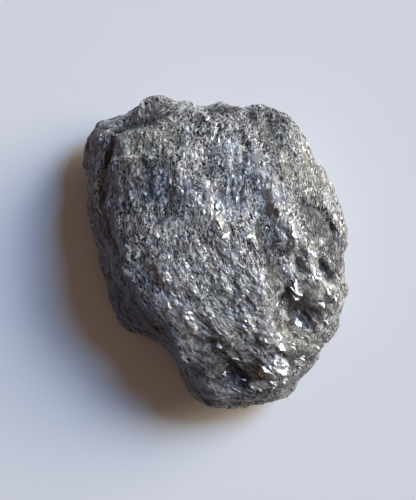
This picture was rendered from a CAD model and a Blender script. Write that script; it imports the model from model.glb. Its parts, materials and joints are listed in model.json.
"""Finishes the rough stone: a schist body with foliated, crumpled relief, mica scales and bright
flakes set in its surface, grains of milky quartz grown into it, and the stage that shows it.

Laid out as a Blender add-on and run as a script. Blender units are metres. The tables below are
in millimetres, in plan from the middle of the stone.
"""

import json
import math

import bpy
import numpy as np
from mathutils import Matrix, Vector, noise
from mathutils.kdtree import KDTree

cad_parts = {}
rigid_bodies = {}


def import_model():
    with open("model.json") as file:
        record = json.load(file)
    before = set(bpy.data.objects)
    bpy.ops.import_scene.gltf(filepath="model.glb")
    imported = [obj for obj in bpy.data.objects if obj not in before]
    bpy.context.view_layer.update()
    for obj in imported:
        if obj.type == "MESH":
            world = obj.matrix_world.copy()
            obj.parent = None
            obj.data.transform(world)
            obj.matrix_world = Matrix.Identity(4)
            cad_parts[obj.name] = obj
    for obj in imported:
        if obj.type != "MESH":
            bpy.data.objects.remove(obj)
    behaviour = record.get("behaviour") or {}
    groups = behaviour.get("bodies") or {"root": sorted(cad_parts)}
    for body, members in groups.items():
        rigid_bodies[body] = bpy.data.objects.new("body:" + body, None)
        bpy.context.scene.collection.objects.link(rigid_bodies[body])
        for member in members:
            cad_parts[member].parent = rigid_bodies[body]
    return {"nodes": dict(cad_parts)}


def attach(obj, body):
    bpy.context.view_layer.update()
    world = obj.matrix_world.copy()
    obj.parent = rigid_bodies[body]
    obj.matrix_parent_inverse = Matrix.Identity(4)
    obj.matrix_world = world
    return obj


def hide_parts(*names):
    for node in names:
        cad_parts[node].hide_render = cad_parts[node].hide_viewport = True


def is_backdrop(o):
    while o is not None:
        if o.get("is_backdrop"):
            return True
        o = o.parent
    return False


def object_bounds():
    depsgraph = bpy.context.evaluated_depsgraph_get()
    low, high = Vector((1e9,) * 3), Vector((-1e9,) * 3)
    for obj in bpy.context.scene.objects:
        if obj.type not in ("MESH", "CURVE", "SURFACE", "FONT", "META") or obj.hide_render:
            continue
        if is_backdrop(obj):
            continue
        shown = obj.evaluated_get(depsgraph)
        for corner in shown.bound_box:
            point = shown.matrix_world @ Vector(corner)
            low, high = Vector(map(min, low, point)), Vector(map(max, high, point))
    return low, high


bl_info = {
    "name": "Rough Stone",
    "version": (1, 0, 0),
    "blender": (4, 5, 0),
    "location": "View3D > Sidebar > Stone",
    "description": "Models and finishes a rough, scaly stone in its real materials",
    "category": "Object",
}

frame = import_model()

MM = 0.001
NODE = "rough_stone"
CAD_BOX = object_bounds()

# The grain: the scales run along Y on the upper part and turn aside towards +X lower down
GRAIN_TURN_Y = 4.0 * MM  # below this the grain starts to turn
GRAIN_TURN_RADIUS = 15.0 * MM
SHEET_NORMAL = Vector((0.10, -0.06, 1.0)).normalized()
TO_WINDOW = Vector((0.40, 0.21, 0.89)).normalized()  # facing so, a flake mirrors it upwards
LIT_SIDE = (0.87, 0.48, 0.12)  # the flank that faces away from this shows dull sheet edges
CAMERA_PLACE = (-1.04 * MM, 0.55 * MM)  # the point that the camera looks straight down on
TRIES_PER_SCALE = 60  # places tried, because chance leaves most of them bare
PLACES_TRIED = 3000  # the same for all the quartz grains together
CLOSE = 0.3 * MM  # how near in plan the surface has to be to a place tried
TOP_PASSES, BODY_PASSES = 280, 6  # of smoothing: the upper face's facets, then the whole body
FLAT_BELOW = 0.1 * MM  # what the stone rests on stays flat up to this height
TABLE_DROP = 0.02 * MM  # how far the table lies under the stone, so that the two don't flicker

# Plates on two scales: width, length and thickness as shares of the plate width, tilt and lift
PLATES = (((1.0, 2.4, 0.5), 0.13, 0.065), ((0.45, 1.1, 0.3), 0.24, 0.12))
# Crinkles on two scales: width across the grain, length along it and height
CRINKLES = ((0.62, 1.9, 0.13), (0.33, 0.9, 0.08))

# Where the minerals gather on the upper face: x, y and radius
SPOTS = {
    "quartz": (
        (14.3, -5.4, 2.6), (16.4, -4.2, 1.6), (16.2, -7.6, 1.6), (15.0, -10.2, 1.7),
        (-9.2, 21.0, 1.3), (-4.0, -12.4, 1.3), (10.4, -12.2, 1.6), (13.6, -13.6, 1.3),
    ),
    "warm": (
        (13.6, 11.6, 5.0), (-11.6, 15.8, 3.6), (15.4, -6.6, 4.6), (-7.4, 18.4, 3.4),
        (2.0, -13.6, 4.2), (12.4, -14.0, 3.2), (-4.6, -11.2, 2.2), (13.8, -1.0, 2.4),
    ),
    "blue": (
        (4.4, 12.0, 3.6), (2.0, 7.6, 2.6), (2.2, 14.4, 2.2), (-4.0, 9.4, 2.0),
        (-9.0, 9.4, 2.8), (9.6, 8.4, 2.0), (11.4, -5.0, 0.8), (8.8, -16.4, 1.4),
    ),
}

# Where more of the scales gather: x, y and radius
COARSE_SPOTS = ((10.0, -10.6, 6.0), (8.0, -16.4, 4.0), (3.6, 12.4, 3.6))

# Where the outline stands a little in or out: x, y and radius, and how far out
OUTLINE = (
    ((19.3, -1.4, 1.3), 0.8), ((15.8, 13.0, 2.4), -0.85), ((17.4, 9.6, 1.6), 0.3),
    ((13.6, 16.6, 3.0), -0.2), ((-1.6, 21.8, 1.6), -1.6), ((-19.2, 16.6, 2.0), 0.4),
    ((12.9, -18.5, 1.4), -0.4), ((15.4, -15.4, 1.6), 0.4), ((19.4, -6.0, 2.0), 0.3),
    ((19.4, 3.7, 1.2), 0.3), ((-4.4, 22.4, 1.8), 0.45), ((11.2, 19.8, 1.5), -0.2),
    ((-8.4, 22.6, 1.8), 0.3), ((10.8, -21.2, 1.6), 0.3),
)

# Single bright flakes that lie towards the window: x, y and length
FLAKES = (
    (9.6, -13.4, 1.3), (15.2, -13.9, 0.8), (12.8, -15.2, 0.8), (9.0, -16.4, 2.4), (8.1, -16.6, 1.6),
    (9.9, -16.0, 1.4), (7.4, -17.1, 1.2), (8.5, -18.6, 1.0), (10.3, -18.4, 0.8), (11.7, -5.3, 1.5),
    (11.5, -5.9, 1.2), (12.1, -10.3, 1.1), (16.2, -10.0, 0.8), (14.0, -2.6, 1.7), (14.0, -3.3, 1.2),
    (14.8, -3.6, 1.2), (15.6, -4.4, 0.9), (16.5, -5.2, 1.0), (17.5, -6.0, 0.9), (15.6, -7.5, 1.0),
    (7.0, -12.2, 1.1), (6.9, -17.4, 1.0), (1.2, -17.4, 0.8), (0.6, -13.4, 0.7), (9.6, -12.0, 0.8),
    (11.2, -13.4, 0.9), (4.2, -18.4, 0.7), (6.6, -19.6, 0.8),
)

# Forms of the upper face: x and y of both ends, half width, rise, and shade, -1 dark to 1 pale
FORMS = (
    # Patches that differ in shade alone
    ("dim left field", -12.2, 14.35, -11.4, 4.35, 2.2, 0.0, -0.75),
    ("spot by blue ridge", 4.2, 14.35, 4.6, 13.35, 0.5, 0.0, -1.0),
    ("upper field", -2.0, 13.35, 12.0, 9.35, 5.5, 0.0, -0.3),
    ("spot by middle streak", 5.3, 5.25, 5.7, 4.45, 0.5, 0.0, -0.6),
    ("middle field", -6.0, 2.35, 4.0, -2.65, 4.5, 0.0, 0.15),
    ("by first pit", 12.0, -1.75, 13.0, -1.75, 0.6, 0.0, -0.15),
    ("lower left flank", -13.6, -6.4, -9.3, -11.8, 2.4, 0.0, -1.0),
    ("lower field", -3.0, -6.65, 5.5, -8.65, 3.5, 0.0, 0.4),
    ("left side of lower end", -4.0, -13.8, -2.6, -16.0, 0.8, 0.0, -0.8),
    ("right of long ridge", 13.0, -14.85, 14.2, -15.45, 1.2, 0.0, -1.0),
    ("lower end", -1.0, -16.15, 8.0, -18.15, 3.0, 0.0, -0.4),
    ("lower right rim", 7.2, -20.8, 12.8, -17.6, 1.2, 0.0, -0.65),
    # Ridges, streaks and filled furrows
    ("top rim", -5.0, 21.15, -1.9, 20.25, 0.9, 0.15, 0.25),
    ("dark knobs", -0.5, 20.95, 3.2, 20.85, 0.7, 0.1, -1.0),
    ("right dark knob", 5.2, 20.25, 6.1, 18.85, 0.7, 0.1, -1.0),
    ("second blue ridge", 3.1, 16.25, 3.5, 13.45, 0.6, 0.25, 0.6),
    ("right-hand ridge", 5.2, 16.25, 6.7, 11.75, 0.7, 0.25, 0.3),
    ("left rim", -13.0, 16.25, -12.6, 13.95, 0.7, 0.15, 0.9),
    ("foot of corner crack", -15.5, 15.8, -16.2, 7.4, 0.8, 0.1, -1.0),
    ("blue ridge", 2.0, 15.55, 2.1, 12.55, 0.6, 0.25, 0.75),
    ("upper ridge, top", -4.5, 15.25, -2.5, 13.15, 0.9, 0.3, 0.8),
    ("right top field", 10.7, 14.85, 14.7, 9.45, 2.2, 0.15, 0.25),
    ("thin ridge", -5.3, 12.75, -5.0, 8.85, 0.4, 0.25, 0.85),
    ("streak in left hollow", -6.9, 11.8, -6.7, 10.4, 0.5, 0.15, 0.95),
    ("left of long ridge", 6.0, 11.6, 6.6, 9.6, 0.7, 0.3, 1.0),
    ("filled valley, top", 7.0, 11.4, 8.0, 6.6, 0.9, 0.45, 0.85),
    ("upper ridge, middle", -1.7, 10.75, -0.3, 7.25, 0.7, 0.25, 0.6),
    ("long ridge, top", 8.1, 10.2, 8.9, 6.8, 1.0, 0.6, 0.5),
    ("glint in blue hollow", 2.8, 9.2, 3.2, 8.0, 0.5, 0.15, 0.85),
    ("left streak", -12.2, 8.85, -11.8, 7.15, 0.4, 0.2, 1.0),
    ("right rim's top", 16.4, 8.6, 16.6, 6.8, 0.6, 0.15, 0.85),
    ("left of upper ridge", -3.2, 8.2, -2.4, 5.6, 0.8, 0.25, 1.0),
    ("right rim", 16.4, 7.65, 18.1, 3.15, 0.5, 0.15, 0.35),
    ("streak by middle furrow", 4.2, 7.6, 4.7, 6.4, 0.6, 0.2, 0.5),
    ("lower foot of corner crack", -16.2, 7.0, -15.7, 2.8, 0.6, 0.05, -0.8),
    ("second upper ridge", -1.3, 6.95, -1.7, 5.25, 0.7, 0.2, 1.0),
    ("long ridge, foot", 9.0, 6.6, 11.6, 2.6, 1.1, 0.65, 0.6),
    ("upper ridge, foot", -0.9, 6.55, 1.5, 2.25, 0.9, 0.35, 0.9),
    ("filled valley", 8.4, 5.95, 9.8, 1.95, 0.9, 0.45, 0.75),
    ("middle streak", 5.5, 4.55, 5.7, 1.65, 0.6, 0.25, 0.65),
    ("left field", -9.3, 3.65, -7.9, 1.95, 0.9, 0.2, 0.2),
    ("second streak of middle", 2.5, 2.4, 3.1, 1.2, 0.6, 0.2, 0.7),
    ("long ridge, end", 12.0, 1.95, 14.0, -0.55, 0.9, 0.4, 0.4),
    ("spot in middle", 0.4, 1.8, 1.0, 0.4, 0.7, 0.2, 1.0),
    ("beside long ridge's end", 10.5, 1.7, 11.1, 0.5, 0.6, 0.2, 1.0),
    ("left of first pit", 10.9, 0.95, 10.9, -3.25, 0.6, 0.4, 0.75),
    ("long ridge, tip", 11.7, 0.6, 12.5, -0.4, 0.6, 0.25, 1.0),
    ("streak of middle", 2.0, 0.0, 2.6, -1.2, 0.6, 0.2, 1.0),
    ("between pits", 14.7, -0.4, 15.2, -1.6, 0.5, 0.2, 1.0),
    ("filled furrow", -8.6, -0.45, -1.6, -11.45, 1.0, 0.5, 0.25),
    ("slanting streaks", 4.4, -0.55, 7.5, -5.45, 0.9, 0.25, 0.0),
    ("pale start of quartz", 9.6, -0.6, 10.2, -2.0, 0.6, 0.3, 0.85),
    ("lower left streaks", -9.6, -1.45, -5.2, -4.25, 0.8, 0.3, 1.0),
    ("quartz crest", 13.2, -1.5, 14.6, -2.95, 0.7, 0.45, 0.95),
    ("left edge of field", -9.5, -1.8, -8.8, -2.8, 0.6, 0.2, 1.0),
    ("second filled furrow", -1.2, -2.05, 5.4, -9.25, 0.9, 0.4, 0.4),
    ("left slanting streaks", -5.6, -2.05, -2.8, -5.45, 0.9, 0.25, 0.75),
    ("quartz crest, end", 14.6, -2.95, 17.4, -5.45, 0.6, 0.4, 0.65),
    ("quartz field", 11.8, -4.4, 15.4, -6.2, 1.4, 0.45, 0.25),
    ("glint by quartz", 11.5, -4.95, 11.9, -5.55, 0.6, 0.5, 0.8),
    ("streak right of furrow", 6.0, -5.4, 6.8, -7.0, 0.6, 0.25, 1.0),
    ("low shoulder", -7.9, -6.05, -3.9, -10.65, 0.9, 0.35, 1.0),
    ("third filled furrow", -6.2, -6.2, -3.0, -10.6, 0.8, 0.4, 1.0),
    ("second streak of lower field", 5.4, -6.6, 6.0, -7.8, 0.6, 0.2, 0.9),
    ("over bottom shelf", 3.6, -6.6, 5.2, -11.4, 1.0, 0.55, 1.0),
    ("streak of lower field", 2.9, -7.5, 3.5, -8.6, 0.6, 0.2, 1.0),
    ("streak in black hollow", 9.9, -8.6, 10.6, -9.6, 0.5, 0.2, 1.0),
    ("low field", 6.7, -9.15, 8.7, -13.05, 1.2, 0.3, 0.85),
    ("flake by hollow", 12.1, -9.75, 12.5, -10.45, 0.6, 0.25, 0.2),
    ("low pale flake", 6.6, -11.85, 7.0, -12.45, 0.6, 0.2, 1.0),
    ("white flake", 9.3, -12.85, 10.0, -13.65, 0.8, 0.5, 0.5),
    ("flake over dark end", 0.4, -13.25, 0.7, -13.65, 0.4, 0.2, 1.0),
    ("streak over bottom hollow", 2.0, -14.4, 2.8, -15.4, 0.6, 0.2, 1.0),
    ("large white flake", 7.7, -16.85, 10.1, -15.75, 1.2, 0.8, 0.95),
    ("flake in dark end", 0.8, -16.85, 1.4, -17.85, 0.4, 0.2, 0.15),
    ("bottom flakes", 5.2, -19.25, 8.6, -18.85, 0.6, 0.2, 1.0),
    # Hollows, pits and dark sides
    ("knob's dark face", -9.4, 22.0, -7.6, 21.6, 0.9, -0.1, -0.85),
    ("top left knob's foot", -10.0, 20.9, -8.0, 20.2, 0.8, -0.1, -1.0),
    ("upper shoulder", 7.5, 20.25, 9.5, 19.45, 1.0, -0.35, -1.0),
    ("top spot", -2.4, 19.95, -2.0, 19.15, 0.7, -0.1, -1.0),
    ("upper shoulder's foot", 8.1, 18.85, 9.1, 15.75, 0.9, -0.45, -1.0),
    ("upper left edge", -13.9, 18.45, -9.3, 19.45, 1.1, -0.3, -0.95),
    ("top pit", 3.6, 18.4, 4.0, 17.0, 0.7, -0.15, -0.7),
    ("corner knob's dark side", -16.2, 18.4, -15.4, 16.4, 0.9, -0.1, -0.85),
    ("left of rim", -14.8, 18.25, -15.9, 13.45, 1.0, -0.3, -0.25),
    ("right top field's dark edge", 9.6, 18.0, 11.4, 14.0, 1.0, -0.1, -0.65),
    ("right top field's dark foot", 6.9, 17.8, 7.7, 15.8, 0.8, -0.25, -1.0),
    ("upper left pit", -5.6, 16.85, -5.0, 15.45, 0.6, -0.3, -0.6),
    ("left field's dark top", -10.9, 16.55, -9.8, 15.25, 0.8, -0.15, -1.0),
    ("over blue ridge", 3.6, 16.4, 4.0, 15.2, 0.6, -0.15, -0.7),
    ("left rim's dark side", -11.3, 15.0, -10.6, 13.8, 0.7, -0.15, -0.9),
    ("foot of blue ridge", 2.6, 13.2, 3.0, 12.0, 0.6, -0.15, -0.75),
    ("left hollow's top", -10.8, 13.2, -10.4, 11.0, 0.9, -0.35, -1.0),
    ("blue hollow", 3.5, 13.15, 4.1, 10.85, 0.7, -0.45, -0.6),
    ("left hollow's left arm", -12.8, 12.85, -12.6, 7.85, 1.0, -0.15, -0.95),
    ("left hollow's right arm", -7.2, 12.25, -7.3, 7.95, 1.0, -0.4, -0.2),
    ("left hollow", -9.9, 11.95, -10.2, 7.65, 1.6, -0.35, -1.0),
    ("blue hollow's left arm", 1.5, 9.95, 3.5, 7.95, 0.9, -0.4, -0.6),
    ("blue hollow's right arm", 5.2, 9.65, 7.0, 7.95, 0.9, -0.4, -0.25),
    ("blue hollow's left end", 0.8, 9.6, 1.4, 8.0, 0.6, -0.25, -0.9),
    ("by long ridge", 6.7, 8.35, 7.4, 4.95, 0.8, -0.2, 0.4),
    ("right grey field's top", 15.0, 7.8, 15.8, 6.2, 0.7, -0.15, -0.55),
    ("right grey field", 13.0, 7.65, 16.0, 2.75, 1.4, -0.3, -1.0),
    ("left hollow's foot", -6.6, 6.95, -7.3, 5.45, 0.7, -0.3, -0.5),
    ("left field's dark foot", -8.8, 6.4, -8.2, 4.8, 0.8, -0.2, -0.85),
    ("right rim's dark side", 16.6, 4.75, 17.5, 3.15, 0.8, -0.1, -0.95),
    ("right field's dark foot", 12.9, 3.95, 14.5, 2.55, 0.8, -0.1, -1.0),
    ("right grey spot", 15.8, 3.95, 17.2, -0.25, 1.1, -0.25, -1.0),
    ("middle furrow", 6.2, 3.75, 8.6, -4.25, 0.9, -0.15, -1.0),
    ("pit by upper ridge's foot", 2.2, 3.6, 2.6, 2.0, 0.6, -0.2, -0.7),
    ("right rim's dark foot", 17.4, 3.4, 18.1, 1.8, 0.7, -0.1, -1.0),
    ("left pit of middle", -1.8, 2.85, -1.3, 1.45, 0.6, -0.3, -0.8),
    ("under long ridge", 7.5, 2.55, 9.4, -0.35, 1.0, -0.1, -0.65),
    ("left field's dark side", -11.4, 1.6, -10.4, -0.4, 0.9, -0.15, -0.65),
    ("spot of left field", -8.8, 1.2, -8.2, 0.0, 0.6, -0.15, -0.4),
    ("pit beside middle streak", 5.0, 1.2, 5.8, -0.2, 0.6, -0.15, -0.75),
    ("middle pit", 0.4, 0.55, 1.2, -1.15, 0.6, -0.3, -1.0),
    ("low pit of middle", -0.8, -1.0, -0.2, -2.4, 0.6, -0.2, -0.65),
    ("furrow to quartz", 8.4, -1.15, 10.7, -5.15, 0.8, -0.2, -1.0),
    ("by second pit", 15.3, -1.15, 17.1, -3.75, 0.7, -0.2, -1.0),
    ("low shoulder's dark side", -11.6, -2.25, -9.0, -6.05, 0.8, -0.2, -0.55),
    ("right edge by pit", 17.2, -3.45, 18.2, -0.45, 0.9, -0.1, -1.0),
    ("lower pit of middle", 2.7, -3.45, 3.0, -5.75, 0.6, -0.3, -0.15),
    ("second pit of lower middle", -2.8, -4.4, -2.2, -5.4, 0.6, -0.15, -0.55),
    ("right of shelf", 5.4, -4.8, 6.6, -9.2, 0.7, -0.1, 0.05),
    ("low spot of left", -8.2, -5.4, -7.8, -6.4, 0.6, -0.1, -0.7),
    ("beside third furrow", -5.4, -5.4, -4.2, -6.8, 0.7, -0.1, -0.5),
    ("pit of lower middle", -1.0, -5.8, -0.2, -6.8, 0.6, -0.15, -0.5),
    ("black hollow", 9.8, -6.05, 13.3, -9.15, 1.1, -0.55, -0.45),
    ("hollow in quartz", 16.1, -6.15, 16.3, -7.05, 0.8, -0.45, -1.0),
    ("under black hollow", 11.0, -8.25, 14.5, -10.45, 1.1, -0.2, -0.9),
    ("beside slanting streaks", 5.6, -8.6, 6.4, -10.4, 0.7, -0.15, -0.55),
    ("glass under quartz", 15.2, -8.7, 16.9, -7.3, 1.0, -0.1, -1.0),
    ("left of black hollow", 8.8, -8.8, 9.4, -10.8, 0.7, -0.2, -0.75),
    ("low pit of left", -2.6, -8.9, -1.6, -10.6, 0.7, -0.15, -0.75),
    ("right of glass", 15.0, -9.4, 15.8, -10.4, 0.7, -0.15, -1.0),
    ("below black hollow", 10.8, -9.65, 12.8, -10.85, 0.9, -0.2, -1.0),
    ("pit below black hollow", 11.0, -10.6, 11.6, -11.8, 0.7, -0.2, -1.0),
    ("bottom shelf", 3.0, -10.85, 6.1, -13.05, 0.9, -0.35, -0.45),
    ("low groove", -1.8, -10.85, -1.0, -13.05, 0.9, -0.3, 0.2),
    ("dark end's left side", -2.4, -12.85, -1.0, -18.45, 1.3, -0.1, -0.9),
    ("bottom pocket", -0.5, -13.15, 0.1, -14.35, 0.9, -0.5, -0.7),
    ("left of white flakes", 7.6, -14.0, 8.0, -15.0, 0.6, -0.15, -0.65),
    ("right of white flake", 10.0, -14.6, 11.6, -16.6, 0.9, -0.2, -1.0),
    ("bottom hollow's right arm", 4.4, -15.15, 6.7, -17.75, 1.0, -0.35, 0.35),
    ("lower right pocket", 11.0, -15.2, 11.8, -16.8, 0.9, -0.35, -1.0),
    ("dark end", -0.8, -15.25, 3.6, -19.05, 2.6, -0.2, -1.0),
    ("bottom hollow", 2.4, -16.05, 3.5, -18.35, 1.3, -0.6, -0.8),
    ("foot of bottom hollow", 1.4, -17.6, 2.4, -19.2, 1.0, -0.3, -1.0),
    ("dark end's floor", 0.0, -18.6, 3.4, -19.8, 1.0, -0.55, -1.0),
    ("bottom rim", -1.5, -20.35, 6.7, -20.65, 1.1, -0.1, -0.8),
)

# Sharp cracks and pits of the upper face: x and y of both ends, half width and depth
MARKS = (
    ("corner crack", -15.6, 17.35, -16.0, 7.95, 0.45, 0.15),
    ("split above it", -15.7, 16.95, -13.2, 19.75, 0.35, 0.5),
    ("first pit", 12.1, -1.25, 12.7, -1.95, 0.6, 0.7),
    ("second pit", 15.5, -1.45, 16.7, -3.55, 0.6, 0.8),
    ("small pit", 5.6, -11.55, 6.0, -11.85, 0.4, 0.5),
    ("round hole in quartz", 12.7, -6.25, 12.9, -6.45, 0.4, 0.5),
    ("bottom hole", 2.6, -16.65, 3.4, -17.85, 0.8, 0.6),
)


def paint(code):
    """An sRGB hex colour as the linear RGBA that a shader takes."""
    shares = [int(code[i : i + 2], 16) / 255 for i in (1, 3, 5)]
    return (*(c / 12.92 if c <= 0.04045 else ((c + 0.055) / 1.055) ** 2.4 for c in shares), 1.0)


def add_node(tree, kind, inputs=(), stops=(), **settings):
    """Add a node with its settings, its inputs (constants or other nodes' outputs) and stops.

    Inputs go by name or number. On a Mix node 0 is the factor, 2 and 3 are the numbers and 6 and
    7 the colours. The first two stops take the places of the ramp's own two.
    """
    new = tree.nodes.new(kind)
    for name, value in settings.items():
        setattr(new, name, value)
    for name, value in dict(inputs).items():
        if isinstance(value, bpy.types.NodeSocket):
            tree.links.new(value, new.inputs[name])
        else:
            new.inputs[name].default_value = value
    for i, (place, colour) in enumerate(stops):
        ramp = new.color_ramp.elements
        element = ramp[i] if i < 2 else ramp.new(place)
        element.position = place
        element.color = colour
    return new


def new_material(name):
    """A material with an empty Principled BSDF; gives the material, its tree and the shader."""
    material = bpy.data.materials.new(name)
    material.use_nodes = True
    tree = material.node_tree
    return material, tree, tree.nodes["Principled BSDF"]


# --- Shapes ---


def deselect_all():
    """Operators act on all that is selected, and the loaded nodes still are."""
    for obj in bpy.data.objects:
        obj.select_set(False)


def make_active(obj):
    """Select this object alone."""
    deselect_all()
    obj.hide_viewport = False
    obj.select_set(True)
    bpy.context.view_layer.objects.active = obj


def apply_modifier(obj, kind, **settings):
    """Add a modifier with these settings and apply it."""
    make_active(obj)
    modifier = obj.modifiers.new(kind.lower(), kind)
    for name, value in settings.items():
        setattr(modifier, name, value)
    bpy.ops.object.modifier_apply(modifier=modifier.name)


def edit(obj, step):
    """Run a function of edit-mode operators on all of this object's mesh."""
    make_active(obj)
    bpy.ops.object.mode_set(mode="EDIT")
    bpy.ops.mesh.select_all(action="SELECT")
    step()
    bpy.ops.object.mode_set(mode="OBJECT")


def rounded(share):
    """1 from 1 on, 0 up to 0, smooth between, for an array."""
    share = np.clip(share, 0.0, 1.0)
    return share * share * (3.0 - 2.0 * share)


def edge_noise(point):
    """Noise that makes the edge of a form ragged."""
    return noise.noise(point / (1.7 * MM)) + 0.6 * noise.noise(point / (0.6 * MM))


def nearness(places, start, end, half_width, ragged=0.0):
    """1 on the line from start to end in plan, 0 beyond its ragged edge; sizes in mm."""
    start, end = np.array(start) * MM, np.array(end) * MM
    line = end - start
    share = np.clip((places[:, :2] - start) @ line / (line @ line), 0.0, 1.0)
    distance = np.linalg.norm(places[:, :2] - start - share[:, None] * line, axis=1)
    return rounded(1.0 - distance / (1.7 * half_width * MM) - 0.4 * ragged)


def around(places, x, y, reach, ragged=0.0):
    """1 at this place in plan, 0 beyond its ragged edge: a spot is a very short line."""
    return nearness(places, (x, y), (x, y + 0.01), reach, ragged)


def gathered(places, spots, ragged=0.0):
    """How much of a mineral each point shows, 0 to 1, in patches whose edges may be ragged."""
    most = np.zeros(len(places))
    for x, y, radius in spots:
        most = np.maximum(most, around(places, x, y, 0.85 * radius, ragged))
    return most


def in_grain(point):
    """How far this point lies across the scales, along them and through the sheets."""
    turn = max(0.0, GRAIN_TURN_Y - point.y)
    across = point.x - turn * turn / (2.0 * GRAIN_TURN_RADIUS)
    across += 0.5 * MM * noise.noise(point / (3.2 * MM))
    through = point.dot(SHEET_NORMAL) + 0.9 * MM * noise.noise(point / (6.0 * MM))
    return Vector((across, point.y, through))


def plan_tree(mesh):
    """Finds the vertex of the upper side that is nearest to a place in plan."""
    upper = [v for v in mesh.vertices if v.normal.z > 0.3]
    tree = KDTree(len(upper))
    for vert in upper:
        tree.insert((vert.co.x, vert.co.y, 0.0), vert.index)
    tree.balance()
    return tree


def chance_place(rng):
    """A place in plan, anywhere in the stone's box."""
    (low_x, low_y, _), (high_x, high_y, _) = CAD_BOX
    return rng.uniform(low_x, high_x), rng.uniform(low_y, high_y), 0.0


def grain_heading(point):
    """Unit vector along the scales at this point, seen from above."""
    turn = max(0.0, GRAIN_TURN_Y - point.y)
    return Vector((-turn / GRAIN_TURN_RADIUS, 1.0, 0.0)).normalized()


def plates(grain, size, tilt, lift, blend=0.22):
    """Height of flat plates of this size, each leaning its own way, with steps between them."""
    place = Vector((grain.x / size[0], grain.y / size[1], grain.z / size[2])) / MM
    distances, centres = noise.voronoi(place)
    height = total = 0.0
    for distance, centre in zip(distances[:3], centres):
        weight = max(0.0, 1.0 - (distance - distances[0]) / blend) ** 2
        lean = tilt * noise.noise_vector(centre * 7.3)
        height += weight * ((place - centre).dot(lean) + lift * noise.noise(centre * 5.1))
        total += weight
    return size[0] * MM * height / total


def crinkles(grain, across, along, height):
    """Wavy ridges, like crumpled foil, that run the way of the scales."""
    place = Vector((grain.x / across, grain.y / along, grain.z / (0.8 * across))) / MM
    place += 0.6 * noise.noise_vector(0.5 * place)
    return height * MM * (0.5 - abs(noise.noise(place)) * 1.9)


def ledges(grain, normal, pitch, step):
    """Height of the sheets' broken ends, which show as ledges on the flanks."""
    sheet, share = divmod(grain.z / pitch, 1.0)
    patch = Vector((grain.x, grain.y, 0.0)) / (2.2 * MM) + Vector((0.0, 0.0, 3.7 * sheet))
    worn = 0.55 + 0.7 * noise.noise(patch)
    return step * (1.0 - normal.z**2) * worn * (0.5 - share) * min(1.0, 5.0 * share)


def add_attribute(mesh, name, values):
    """Keep one number for each vertex, for the material to read."""
    layer = mesh.attributes.new(name, "FLOAT", "POINT")
    layer.data.foreach_set("value", np.asarray(values, dtype=np.float32))


def read_attribute(mesh, name):
    """The number that each vertex keeps under this name."""
    values = np.zeros(len(mesh.vertices))
    mesh.attributes[name].data.foreach_get("value", values)
    return values


def settle(piece, *replaced):
    """Hand a finished piece to the frame."""
    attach(piece, "root")
    if replaced:
        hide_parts(*replaced)


# --- Materials ---


def glint_normal(tree, position, sizes, strength):
    """A normal that leans its own way in each cell, as small scales do; two cell sizes in mm."""
    normal = add_node(tree, "ShaderNodeNewGeometry").outputs["Normal"]
    for cell, share in zip(sizes, (1.0, 0.6)):
        placed = add_node(
            tree, "ShaderNodeMapping", {"Vector": position, "Scale": [1 / (s * MM) for s in cell]}
        )
        cells = add_node(tree, "ShaderNodeTexVoronoi", {"Vector": placed.outputs[0], "Scale": 1.0})
        centred = add_node(
            tree, "ShaderNodeVectorMath", {0: cells.outputs["Color"], 1: (0.5, 0.5, 0.5)},
            operation="SUBTRACT",
        )
        leaning = add_node(
            tree, "ShaderNodeVectorMath",
            {0: centred.outputs[0], 1: (2.0 * strength * share,) * 3, 2: normal},
            operation="MULTIPLY_ADD",
        )
        normal = leaning.outputs[0]
    return add_node(tree, "ShaderNodeVectorMath", {0: normal}, operation="NORMALIZE").outputs[0]


def grain_position(tree):
    """Object position with the grain's turn taken out, so that a pattern follows the scales."""
    coordinates = add_node(tree, "ShaderNodeTexCoord").outputs["Object"]
    parts = add_node(tree, "ShaderNodeSeparateXYZ", {0: coordinates})
    below = add_node(
        tree, "ShaderNodeMath", {0: GRAIN_TURN_Y, 1: parts.outputs[1]}, operation="SUBTRACT"
    )
    turn = add_node(tree, "ShaderNodeMath", {0: below.outputs[0], 1: 0.0}, operation="MAXIMUM")
    square = add_node(
        tree, "ShaderNodeMath", {0: turn.outputs[0], 1: turn.outputs[0]}, operation="MULTIPLY"
    )
    across = add_node(
        tree, "ShaderNodeMath",
        {0: square.outputs[0], 1: -0.5 / GRAIN_TURN_RADIUS, 2: parts.outputs[0]},
        operation="MULTIPLY_ADD",
    )
    joined = add_node(
        tree, "ShaderNodeCombineXYZ", {0: across.outputs[0], 1: parts.outputs[1], 2: parts.outputs[2]}
    )
    return joined.outputs[0]


def stained(tree, colour, stains):
    """The colour with minerals mixed in, each up to its share, where its attribute says so."""
    for name, mineral, most in stains:
        here = add_node(tree, "ShaderNodeAttribute", attribute_name=name).outputs["Fac"]
        share = add_node(tree, "ShaderNodeMath", {0: here, 1: most}, operation="MULTIPLY")
        mixed = add_node(
            tree, "ShaderNodeMix", {0: share.outputs[0], 6: colour, 7: mineral}, data_type="RGBA"
        )
        colour = mixed.outputs[2]
    return colour


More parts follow.
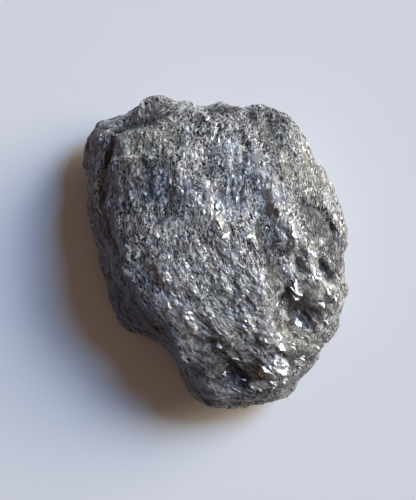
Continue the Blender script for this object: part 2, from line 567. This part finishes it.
def schist_material(look):
    """Mica schist, broken along its foliation: thin silvery scales in a darker fine ground.

    To the eye a crisp salt and pepper of bright scale edges, which wander the way of the grain.
    """
    material, tree, shader = new_material("mica_schist")
    grain = grain_position(tree)
    layers = []
    # Width, length and thickness in mm, and bend: scales on the upper face, then sheets on the
    # flanks. Real scale edges are finer; these are as coarse as they need to be to show.
    for wide, long, thick, bend in ((0.56, 1.45, 0.30, 1.1), (2.2, 3.0, 0.17, 0.3)):
        placed = add_node(
            tree, "ShaderNodeMapping",
            {"Vector": grain, "Scale": (1 / (wide * MM), 1 / (long * MM), 1 / (thick * MM))},
        )
        folds = add_node(
            tree, "ShaderNodeTexNoise",
            {
                "Vector": placed.outputs[0], "Scale": 1.0, "Detail": 1.0, "Roughness": 0.6,
                "Distortion": bend,
            },
        )
        layers.append((placed, folds))
    (placed, faces), (_, sheets) = layers
    flank = add_node(tree, "ShaderNodeAttribute", attribute_name="flank").outputs["Fac"]
    folds = add_node(tree, "ShaderNodeMix", {0: flank, 2: faces.outputs[0], 3: sheets.outputs[0]})
    edges = add_node(
        tree, "ShaderNodeValToRGB", {0: folds.outputs[0]},
        (
            (0.30, look.ground), (0.70, look.ground), (0.41, look.ground), (0.45, look.silver),
            (0.54, look.silver), (0.58, look.ground),
        ),
    )
    # Single grains of rock, 0.33 mm wide, each with its own shade, metallic share and polish
    cells = add_node(tree, "ShaderNodeTexVoronoi", {"Vector": placed.outputs[0], "Scale": 1.7})
    chance = add_node(tree, "ShaderNodeSeparateColor", {0: cells.outputs["Color"]})
    plain = add_node(
        tree, "ShaderNodeValToRGB", {0: chance.outputs[0]}, ((0.1, look.ground), (1.0, look.silver))
    )
    mixed = add_node(
        tree, "ShaderNodeMix", {0: 0.12, 6: edges.outputs[0], 7: plain.outputs[0]}, data_type="RGBA"
    )
    colour = stained(
        tree, mixed.outputs[2],
        (
            ("warm", look.warm_mica, 0.35), ("blue", look.blue_mica, 0.45),
            ("quartz", look.quartz, 0.8), ("pale", look.bright, 0.5),
            ("dark", look.dark_mica, 0.82), ("hollow", look.ground, 0.3),
            ("edge_on", look.edge_on, 0.8),
        ),
    )
    metallic = add_node(
        tree, "ShaderNodeMapRange", {"Value": chance.outputs[1], "From Min": 0.45, "To Max": 0.75}
    )
    rough = add_node(
        tree, "ShaderNodeMapRange", {"Value": chance.outputs[1], "To Min": 0.60, "To Max": 0.36}
    )
    quartz = add_node(tree, "ShaderNodeAttribute", attribute_name="quartz").outputs["Fac"]
    glossy = add_node(tree, "ShaderNodeMix", {0: quartz, 2: rough.outputs[0], 3: 0.16})
    mineral = add_node(tree, "ShaderNodeMix", {0: quartz, 2: metallic.outputs[0], 3: 0.0})
    leaning = glint_normal(tree, grain, ((0.30, 0.80, 0.3), (0.17, 0.42, 0.2)), look.glint)
    height = add_node(tree, "ShaderNodeSeparateColor", {0: edges.outputs[0]})
    raised = add_node(
        tree, "ShaderNodeBump",
        {"Height": height.outputs[0], "Distance": 0.12 * MM, "Strength": 1.0, "Normal": leaning},
    )
    tree.links.new(colour, shader.inputs["Base Color"])
    tree.links.new(mineral.outputs[0], shader.inputs["Metallic"])
    tree.links.new(glossy.outputs[0], shader.inputs["Roughness"])
    tree.links.new(raised.outputs[0], shader.inputs["Normal"])
    shader.inputs["IOR"].default_value = 1.58
    return material


def scale_material(look):
    """Muscovite and biotite scales: cleavage faces, pearly and a little metallic to the eye."""
    material, tree, shader = new_material("mica_scales")
    grain = grain_position(tree)
    shade = add_node(tree, "ShaderNodeAttribute", attribute_name="shade").outputs["Fac"]
    ramp = add_node(
        tree, "ShaderNodeValToRGB", {0: shade},
        ((0.05, look.dark_mica), (0.9, look.silver), (0.4, look.grey)),
    )
    stains = (("warm", look.warm_mica, 0.35), ("blue", look.blue_mica, 0.35))
    colour = stained(tree, ramp.outputs[0], stains)
    metallic = add_node(tree, "ShaderNodeMapRange", {"Value": shade, "From Min": 0.4, "To Max": 0.55})
    rough = add_node(tree, "ShaderNodeMapRange", {"Value": shade, "To Min": 0.5, "To Max": 0.32})
    normal = glint_normal(tree, grain, ((0.22, 0.5, 0.25), (0.12, 0.3, 0.15)), 0.6 * look.glint)
    tree.links.new(colour, shader.inputs["Base Color"])
    tree.links.new(metallic.outputs[0], shader.inputs["Metallic"])
    tree.links.new(rough.outputs[0], shader.inputs["Roughness"])
    tree.links.new(normal, shader.inputs["Normal"])
    shader.inputs["IOR"].default_value = 1.58
    return material


def quartz_material(look):
    """Milky quartz with a greasy lustre: pale, a little see-through, with clear bright edges."""
    material, tree, shader = new_material("milky_quartz")
    coordinates = add_node(tree, "ShaderNodeTexCoord").outputs["Object"]
    cloud = add_node(
        tree, "ShaderNodeTexNoise", {"Vector": coordinates, "Scale": 1 / (0.9 * MM), "Detail": 3.0}
    ).outputs[0]
    colour = add_node(
        tree, "ShaderNodeMix", {0: cloud, 6: look.quartz, 7: look.quartz_deep}, data_type="RGBA"
    )
    rough = add_node(tree, "ShaderNodeMapRange", {"Value": cloud, "To Min": 0.08, "To Max": 0.35})
    normal = glint_normal(tree, coordinates, ((0.7, 0.7, 0.7), (0.35, 0.35, 0.35)), 0.3)
    tree.links.new(colour.outputs[2], shader.inputs["Base Color"])
    tree.links.new(rough.outputs[0], shader.inputs["Roughness"])
    tree.links.new(normal, shader.inputs["Normal"])
    shader.inputs["IOR"].default_value = 1.54
    shader.inputs["Transmission Weight"].default_value = 0.35
    return material


def table_material(colour):
    """White laminate with a matt finish: even, with no pattern that the eye picks out."""
    material, tree, shader = new_material("matt_laminate")
    coordinates = add_node(tree, "ShaderNodeTexCoord").outputs["Object"]
    cloud = add_node(tree, "ShaderNodeTexNoise", {"Vector": coordinates, "Scale": 1 / (110 * MM)})
    pale = [1.03 * c for c in colour[:3]] + [1.0]
    mixed = add_node(
        tree, "ShaderNodeMix", {0: cloud.outputs[0], 6: colour, 7: pale}, data_type="RGBA"
    )
    tree.links.new(mixed.outputs[2], shader.inputs["Base Color"])
    shader.inputs["Roughness"].default_value = 0.6
    shader.inputs["Specular IOR Level"].default_value = 0.3
    return material


# --- Settings ---


def length_prop(name, text, millimetres):
    """A length that a user can change."""
    return bpy.props.FloatProperty(
        name=name, description=text, default=millimetres * MM, min=0.0, precision=5, unit="LENGTH"
    )


def colour_prop(name, text, code):
    """A colour that a user can change."""
    return bpy.props.FloatVectorProperty(
        name=name, description=text, default=paint(code), size=4, min=0.0, max=1.0, subtype="COLOR"
    )


class StoneSettings(bpy.types.PropertyGroup):
    """Sizes and colours of the stone."""

    voxel: length_prop("Mesh step", "Edge length of the body's mesh", 0.200)
    kept: bpy.props.FloatProperty(
        name="Faces kept", description="Share of the body's faces left when its underside is thinned",
        default=0.70, min=0.5, max=1.0, subtype="FACTOR",
    )
    plate: length_prop("Plate width", "Width of the larger plates, across the grain", 1.7)
    scale_length: length_prop("Scale length", "Usual length of a mica scale", 0.72)
    scale_width: length_prop("Scale width", "Usual width of a mica scale", 0.38)
    scale_count: bpy.props.IntProperty(
        name="Scales", description="Number of usual mica scales", default=640, min=0
    )
    sheet_pitch: length_prop("Sheet pitch", "Thickness of one sheet of the foliation", 0.62)
    sheet_step: length_prop("Sheet step", "How far a sheet's end stands out on a flank", 0.42)
    seed: bpy.props.IntProperty(
        name="Seed", description="Picks the way that the small plates lean", default=4, min=1
    )
    grain_count: bpy.props.IntProperty(
        name="Quartz grains", description="Most grains that the quartz patches get", default=46,
        min=1,
    )
    glint: bpy.props.FloatProperty(
        name="Glint", description="How far the finest scales lean", default=0.20, min=0.0
    )
    ground: colour_prop("Ground", "Fine dark ground between the scales", "#18191E")
    grey: colour_prop("Grey mica", "Usual grey of a scale", "#7C7E80")
    bright: colour_prop("Bright mica", "Muscovite that faces the light", "#DEDFDD")
    silver: colour_prop("Silver mica", "Muscovite", "#D9D8D3")
    dark_mica: colour_prop("Dark mica", "Biotite", "#25262C")
    edge_on: colour_prop("Edge-on sheets", "Dull mica seen along its sheets, on a flank", "#5A5868")
    warm_mica: colour_prop("Warm mica", "Mica with a yellowish stain", "#999A82")
    blue_mica: colour_prop("Blue mica", "Mica with a steel-blue sheen", "#7B8EAC")
    quartz: colour_prop("Quartz", "Milky quartz at its palest", "#D0CCC0")
    quartz_deep: colour_prop("Deep quartz", "Milky quartz where it is thick", "#85837A")


class StageSettings(bpy.types.PropertyGroup):
    """The table, the lights and the camera."""

    table: colour_prop("Table", "Pale matt table top", "#EDEDED")
    table_size: bpy.props.FloatProperty(
        name="Table size", description="Side of the table", default=6.0, unit="LENGTH"
    )
    near_light: colour_prop("Near window", "Warm light from the lower, wider window", "#FFF0D2")
    far_light: colour_prop("Far window", "Sky light from the higher, narrower window", "#9CC8FF")
    room_light: colour_prop("Room", "Dim light that the room gives back", "#FFD9C0")
    room_strength: bpy.props.FloatProperty(
        name="Room strength", description="How strong the room's own light is", default=0.129, min=0.0
    )
    wall: colour_prop("Wall", "What the camera sees past the table", "#D5D9E2")
    camera_height: bpy.props.FloatProperty(
        name="Camera height", description="Height of the lens over the table", default=0.300,
        unit="LENGTH",
    )
    frame_height: length_prop(
        "Frame height", "What the long side of the frame shows at the girdle", 74.0
    )
    girdle: length_prop("Girdle", "Height of the stone's widest outline", 7.0)


# --- Operators ---


class STONE_OT_body(bpy.types.Operator):
    """Model the schist body: a fine mesh over the plain solid, crumpled and broken in plates."""

    bl_idname = "stone.body"
    bl_label = "Schist body"

    def execute(self, context):
        look = context.scene.stone_look
        noise.seed_set(look.seed)
        body = bpy.data.objects.new("schist_body", frame["nodes"][NODE].data.copy())
        context.scene.collection.objects.link(body)
        edit(body, lambda: bpy.ops.mesh.remove_doubles(threshold=0.001 * MM))
        apply_modifier(body, "REMESH", mode="VOXEL", voxel_size=look.voxel)
        self.weigh(body, "top", lambda normal: min(1.0, max(0.0, 2.5 * normal.z - 1.0)))
        self.weigh(body, "underside", lambda normal: float(normal.z < -0.35))
        apply_modifier(body, "SMOOTH", factor=0.5, iterations=TOP_PASSES, vertex_group="top")
        apply_modifier(body, "SMOOTH", factor=0.5, iterations=BODY_PASSES)
        apply_modifier(body, "DECIMATE", ratio=look.kept, vertex_group="underside")
        self.roughen(body.data, look)
        body.vertex_groups.clear()
        body.data.materials.clear()
        body.data.materials.append(schist_material(look))
        make_active(body)
        bpy.ops.object.shade_smooth_by_angle(angle=math.radians(38))
        settle(body, NODE)
        return {"FINISHED"}

    def weigh(self, body, name, rule):
        """A vertex group whose weights follow the way each vertex faces."""
        group = body.vertex_groups.new(name=name)
        for vert in body.data.vertices:
            group.add((vert.index,), rule(vert.normal), "REPLACE")

    def roughen(self, mesh, look):
        """Move each vertex by the stone's fine relief, and note which mineral it shows."""
        places = np.array([v.co for v in mesh.vertices])
        facing = np.array([v.normal for v in mesh.vertices])
        ragged = np.array([edge_noise(v.co) for v in mesh.vertices])
        top = np.clip(facing[:, 2], 0.0, 1.0)
        height, shade = self.broad_forms(places, top, ragged)
        notes = {name: gathered(places, spots, ragged) * top for name, spots in SPOTS.items()}
        notes["dark"] = np.clip(-shade, 0.0, 1.0)
        notes["pale"] = np.clip(shade, 0.0, 1.0)
        notes["edge_on"] = rounded(1.6 * (-facing @ np.array(LIT_SIDE)) - 0.2)
        notes["flank"] = rounded(1.6 - 2.5 * abs(facing[:, 2]))
        fine = np.zeros(len(places))
        plate = look.plate / MM
        for i, vert in enumerate(mesh.vertices):
            grain = in_grain(vert.co)
            for shares, tilt, lift in PLATES:
                height[i] += plates(grain, [plate * share for share in shares], tilt, lift)
            height[i] += ledges(grain, vert.normal, look.sheet_pitch, look.sheet_step)
            fine[i] = sum(crinkles(grain, *crinkle) for crinkle in CRINKLES)
        notes["hollow"] = np.clip(-fine / (0.1 * MM), 0.0, 1.0)
        height += fine * (0.35 + 0.65 * top) * (1.0 - 0.5 * notes["quartz"])
        height *= np.where(facing[:, 2] < -0.5, 0.35, 1.0)  # the underside is worn
        height -= self.mark_depth(places, ragged) * top
        height[places[:, 2] < FLAT_BELOW] = 0.0
        places += facing * height[:, None]
        places[:, 2] = np.maximum(places[:, 2], 0.0)
        mesh.vertices.foreach_set("co", places.astype(np.float32).ravel())
        for name, values in notes.items():
            add_attribute(mesh, name, values)
        mesh.update()

    def broad_forms(self, places, top, ragged):
        """Height and shade that the tables of forms and of the outline give each vertex."""
        height, shade = np.zeros(len(places)), np.zeros(len(places))
        for _, x, y, end_x, end_y, half_width, rise, paleness in FORMS:
            share = nearness(places, (x, y), (end_x, end_y), half_width, ragged) * (top > 0.0)
            height += rise * MM * share * top
            shade = np.where(abs(share * paleness) > abs(shade), share * paleness, shade)
        for (x, y, radius), push in OUTLINE:
            height += push * MM * around(places, x, y, radius) * (1.0 - top)
        return height, shade

    def mark_depth(self, places, ragged):
        """How deep the cracks and pits are at each vertex."""
        depth = np.zeros(len(places))
        for _, x, y, end_x, end_y, half_width, deep in MARKS:
            share = nearness(places, (x, y), (end_x, end_y), half_width, ragged)
            depth = np.maximum(depth, deep * MM * share)
        return depth


class STONE_OT_scales(bpy.types.Operator):
    """Set thin, bent mica scales and bright flakes in the body, along its grain."""

    bl_idname = "stone.scales"
    bl_label = "Mica scales"

    def execute(self, context):
        look = context.scene.stone_look
        body = bpy.data.objects["schist_body"].data
        model = self.one_scale()
        material = scale_material(look)
        for name, spots, stray in (
            ("mica_scales", self.usual_spots, 0.55), ("bright_flakes", self.bright_spots, 0.2),
        ):
            piece = self.scatter(name, body, model.data, look, spots, stray)
            context.scene.collection.objects.link(piece)
            piece.data.materials.append(material)
            make_active(piece)
            bpy.ops.object.shade_smooth_by_angle(angle=math.radians(50))
            settle(piece)
        bpy.data.objects.remove(model)
        return {"FINISHED"}

    def one_scale(self):
        """A six-sided plate with a raised middle, 1 m across, closed all round."""
        deselect_all()
        bpy.ops.mesh.primitive_cylinder_add(vertices=6, radius=0.5, depth=0.16)
        model = bpy.context.object

        def raise_middle():
            bpy.ops.mesh.select_all(action="DESELECT")
            bpy.ops.object.mode_set(mode="OBJECT")
            top = max(model.data.polygons, key=lambda face: face.center.z)
            top.select = True
            bpy.ops.object.mode_set(mode="EDIT")
            bpy.ops.mesh.select_mode(type="FACE")
            bpy.ops.mesh.inset(thickness=0.2)
            bpy.ops.transform.translate(value=(0.0, 0.0, 0.1))
            bpy.ops.mesh.select_all(action="SELECT")
            bpy.ops.mesh.quads_convert_to_tris()

        edit(model, raise_middle)
        return model

    def usual_spots(self, body, notes, look):
        """Vertex, facing, growth, shade and random numbers of each scale; more where it is pale."""
        tree = plan_tree(body)
        coarse = 0.7 * gathered(np.array([v.co for v in body.vertices]), COARSE_SPOTS)
        found = 0
        for number in range(TRIES_PER_SCALE * look.scale_count):
            rng = np.random.default_rng((11, number))
            _, index, gap = tree.find(chance_place(rng))
            vert = body.vertices[index]
            pale, dark = notes["pale"][index], notes["dark"][index]
            chance = 0.25 + 0.75 * pale + coarse[index] - dark - notes["edge_on"][index]
            hidden = gap > CLOSE or vert.normal.z < 0.4 or notes["quartz"][index] > 0.35
            if hidden or rng.uniform() > chance:
                continue
            shade = 0.3 + 0.6 * rng.beta(0.9, 0.9) + 0.35 * pale - 0.5 * dark
            facing = vert.normal.lerp(TO_WINDOW, 0.15 + 0.5 * pale)
            yield index, facing, rng.lognormal(0.0, 0.35), shade, rng
            found += 1
            if found == look.scale_count:
                return

    def bright_spots(self, body, notes, look):
        """The same for the single bright flakes, three plates to each."""
        tree = plan_tree(body)
        for number, (x, y, length) in enumerate(FLAKES):
            for plate in range(3):
                rng = np.random.default_rng((12, number, plate))
                aside = rng.uniform(-0.3, 0.3, 2) * length * MM
                _, index, _ = tree.find((x * MM + aside[0], y * MM + aside[1], 0.0))
                facing = TO_WINDOW + Vector(rng.normal(0.0, 0.12, 3))
                yield index, facing, length * MM / look.scale_length, 0.97, rng

    def scatter(self, name, body, model, look, spots, stray):
        """Copies of the scale at these spots of the body, joined in one mesh."""
        corners = np.array([v.co for v in model.vertices])
        faces = np.array([f.vertices[:] for f in model.polygons])
        labels = ("quartz", "dark", "pale", "blue", "warm", "edge_on")
        notes = {label: read_attribute(body, label) for label in labels}
        picks, points, shades = [], [], []
        for index, facing, grow, shade, rng in spots(body, notes, look):
            place, normal = body.vertices[index].co, facing.normalized()
            heading = grain_heading(place)
            along = (heading - normal * heading.dot(normal)).normalized()
            turn = Matrix((along.cross(normal), along, normal)).transposed()
            for lean, axis in ((stray, "Z"), (0.20, "Y"), (0.14, "X")):
                turn = turn @ Matrix.Rotation(rng.normal(0.0, lean), 3, axis)
            wide = look.scale_width * grow * rng.uniform(0.6, 1.3)
            long = look.scale_length * grow * rng.uniform(0.7, 1.3)
            # Each scale has worn corners and its own bend, curl and twist
            local = corners * (1.0 + rng.uniform(-0.22, 0.22, corners.shape))
            local[:, 0] += rng.normal(0.0, 1.3) * local[:, 1] ** 2
            local[:, 2] += rng.normal(0.0, 0.35) * local[:, 1] ** 2
            local[:, 2] += rng.normal(0.0, 0.20) * local[:, 0] * local[:, 1]
            thick = 0.26 * MM * min(1.3, grow)  # of which the model fills about a quarter
            local *= (wide, long, thick)
            points.append(local @ np.array(turn.transposed()) + np.array(place))
            picks.append(index)
            shades.append(shade)
        steps = np.arange(len(picks))[:, None, None] * len(corners)
        cloud = np.concatenate(points)
        cloud[:, 2] = np.maximum(cloud[:, 2], 0.0)
        joined = bpy.data.meshes.new(name)
        joined.from_pydata(cloud.tolist(), [], (faces[None] + steps).reshape(-1, 3).tolist())
        add_attribute(joined, "shade", np.repeat(np.clip(shades, 0.0, 1.0), len(corners)))
        for label in ("blue", "warm"):
            add_attribute(joined, label, np.repeat(notes[label][picks], len(corners)))
        return bpy.data.objects.new(name, joined)


class STONE_OT_quartz(bpy.types.Operator):
    """Grow broken grains of milky quartz into the stone where the quartz gathers."""

    bl_idname = "stone.quartz"
    bl_label = "Quartz grains"

    def execute(self, context):
        look = context.scene.stone_look
        body = bpy.data.objects["schist_body"].data
        quartz, pale = read_attribute(body, "quartz"), read_attribute(body, "pale")
        tree = plan_tree(body)
        grains = []
        for number in range(PLACES_TRIED):
            rng = np.random.default_rng((5, number))
            _, index, gap = tree.find(chance_place(rng))
            if gap < CLOSE and quartz[index] > 0.5 and pale[index] < 0.4:
                vert = body.vertices[index]
                grains.append(self.one_grain(vert.co, vert.normal, rng))
            if len(grains) == look.grain_count:
                break
        deselect_all()
        for grain in grains:
            grain.select_set(True)
        context.view_layer.objects.active = grains[0]
        bpy.ops.object.join()
        piece = context.object
        piece.name = piece.data.name = "quartz_grains"
        bpy.ops.object.transform_apply(location=True, rotation=True, scale=True)
        piece.data.materials.append(quartz_material(look))
        bpy.ops.object.shade_smooth_by_angle(angle=math.radians(22))
        settle(piece)
        return {"FINISHED"}

    def one_grain(self, place, normal, rng):
        """A broken lump: a ball cut by flat faces, sunk in the surface."""
        deselect_all()
        bpy.ops.mesh.primitive_ico_sphere_add(subdivisions=3, radius=1.0)
        grain = bpy.context.object
        reach = rng.uniform(0.6, 1.15) * MM
        # Flat faces, each at its own share of the radius from the middle
        cuts = [
            (Vector(rng.normal(0, 1, 3)).normalized(), rng.uniform(0.45, 0.75)) for _ in range(14)
        ]
        for vert in grain.data.vertices:
            for face, depth in cuts:
                over = vert.co.dot(face) - depth
                if over > 0.0:
                    vert.co -= face * over
        turn = normal.to_track_quat("Z", "Y").to_matrix()
        turn = turn @ Matrix.Rotation(rng.uniform(0, 6.28), 3, "Z")
        wide = Vector((reach * rng.uniform(0.8, 1.3), reach * rng.uniform(0.8, 1.7), reach * 0.7))
        for vert in grain.data.vertices:
            vert.co = place + turn @ (vert.co * wide) - normal * 0.32 * reach
        return grain


class STONE_OT_stage(bpy.types.Operator):
    """Set the table, the light of two windows and of the room, and the camera straight above."""

    bl_idname = "stone.stage"
    bl_label = "Stage"

    def execute(self, context):
        stage = context.scene.stone_stage
        deselect_all()
        bpy.ops.mesh.primitive_plane_add(size=stage.table_size, location=(0.0, 0.0, 0.0))
        table = context.object
        table.name = table.data.name = "table_top"
        table.data.transform(Matrix.Translation((0.0, 0.0, -TABLE_DROP)))
        table.data.materials.append(table_material(stage.table))
        table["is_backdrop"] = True
        self.window(
            "near_window", stage.near_light, strength=3.30, elevation=24.0, heading=26.0, spread=44.0
        )
        self.window(
            "far_window", stage.far_light, strength=2.21, elevation=45.0, heading=36.0, spread=23.0
        )
        self.room(context, stage)
        self.camera(context, stage)
        context.scene.view_settings.view_transform = "Standard"
        return {"FINISHED"}

    def window(self, name, tint, strength, elevation, heading, spread):
        """Soft light from this elevation and heading, as wide as the window; in degrees."""
        light = bpy.data.lights.new(name, "SUN")
        light.color = tint[:3]
        light.energy = strength
        light.angle = math.radians(spread)
        lamp = bpy.data.objects.new(name, light)
        bpy.context.scene.collection.objects.link(lamp)
        up, around = math.radians(elevation), math.radians(heading)
        level = math.cos(up)
        towards = Vector((level * math.cos(around), level * math.sin(around), math.sin(up)))
        lamp.location = towards
        lamp.rotation_euler = towards.to_track_quat("Z", "Y").to_euler()

    def room(self, context, stage):
        """Dim, warm light from the room; the camera sees a pale wall in its place."""
        world = bpy.data.worlds.new("room")
        world.use_nodes = True
        tree = world.node_tree
        light = tree.nodes["Background"]
        light.inputs["Color"].default_value = stage.room_light
        light.inputs["Strength"].default_value = stage.room_strength
        wall = add_node(tree, "ShaderNodeBackground", {"Color": stage.wall, "Strength": 1.0})
        seen = add_node(tree, "ShaderNodeLightPath").outputs["Is Camera Ray"]
        both = add_node(
            tree, "ShaderNodeMixShader", {0: seen, 1: light.outputs[0], 2: wall.outputs[0]}
        )
        tree.links.new(both.outputs[0], tree.nodes["World Output"].inputs["Surface"])
        context.scene.world = world

    def camera(self, context, stage):
        """Look straight down, with +Y up in the frame."""
        lens = bpy.data.cameras.new("camera")
        camera = bpy.data.objects.new("camera", lens)
        context.scene.collection.objects.link(camera)
        camera.location = (*CAMERA_PLACE, stage.camera_height)
        half = 0.5 * stage.frame_height / (stage.camera_height - stage.girdle)
        lens.lens = 0.5 * lens.sensor_width / half
        lens.clip_start = 0.01
        context.scene.camera = camera


class STONE_PT_panel(bpy.types.Panel):
    """Lists the stone's steps and settings."""

    bl_label = "Stone"
    bl_idname = "STONE_PT_panel"
    bl_space_type = "VIEW_3D"
    bl_region_type = "UI"
    bl_category = "Stone"

    def draw(self, context):
        for step in STEPS:
            self.layout.operator(step.bl_idname)
        for settings in (context.scene.stone_look, context.scene.stone_stage):
            box = self.layout.box()
            for name in type(settings).__annotations__:
                box.prop(settings, name)


STEPS = (STONE_OT_body, STONE_OT_scales, STONE_OT_quartz, STONE_OT_stage)
CLASSES = (StoneSettings, StageSettings, *STEPS, STONE_PT_panel)


def register():
    """Register the classes and give the scene their settings."""
    for cls in CLASSES:
        bpy.utils.register_class(cls)
    bpy.types.Scene.stone_look = bpy.props.PointerProperty(type=StoneSettings)
    bpy.types.Scene.stone_stage = bpy.props.PointerProperty(type=StageSettings)


def unregister():
    """Take the settings and the classes away again."""
    del bpy.types.Scene.stone_look
    del bpy.types.Scene.stone_stage
    for cls in reversed(CLASSES):
        bpy.utils.unregister_class(cls)


def main():
    """Make the stone and its stage."""
    register()
    bpy.ops.stone.body()
    bpy.ops.stone.scales()
    bpy.ops.stone.quartz()
    bpy.ops.stone.stage()
    boxes = {"cad": CAD_BOX, "visual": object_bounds()}
    plain = {name: [list(corner) for corner in box] for name, box in boxes.items()}


if __name__ == "__main__":
    main()
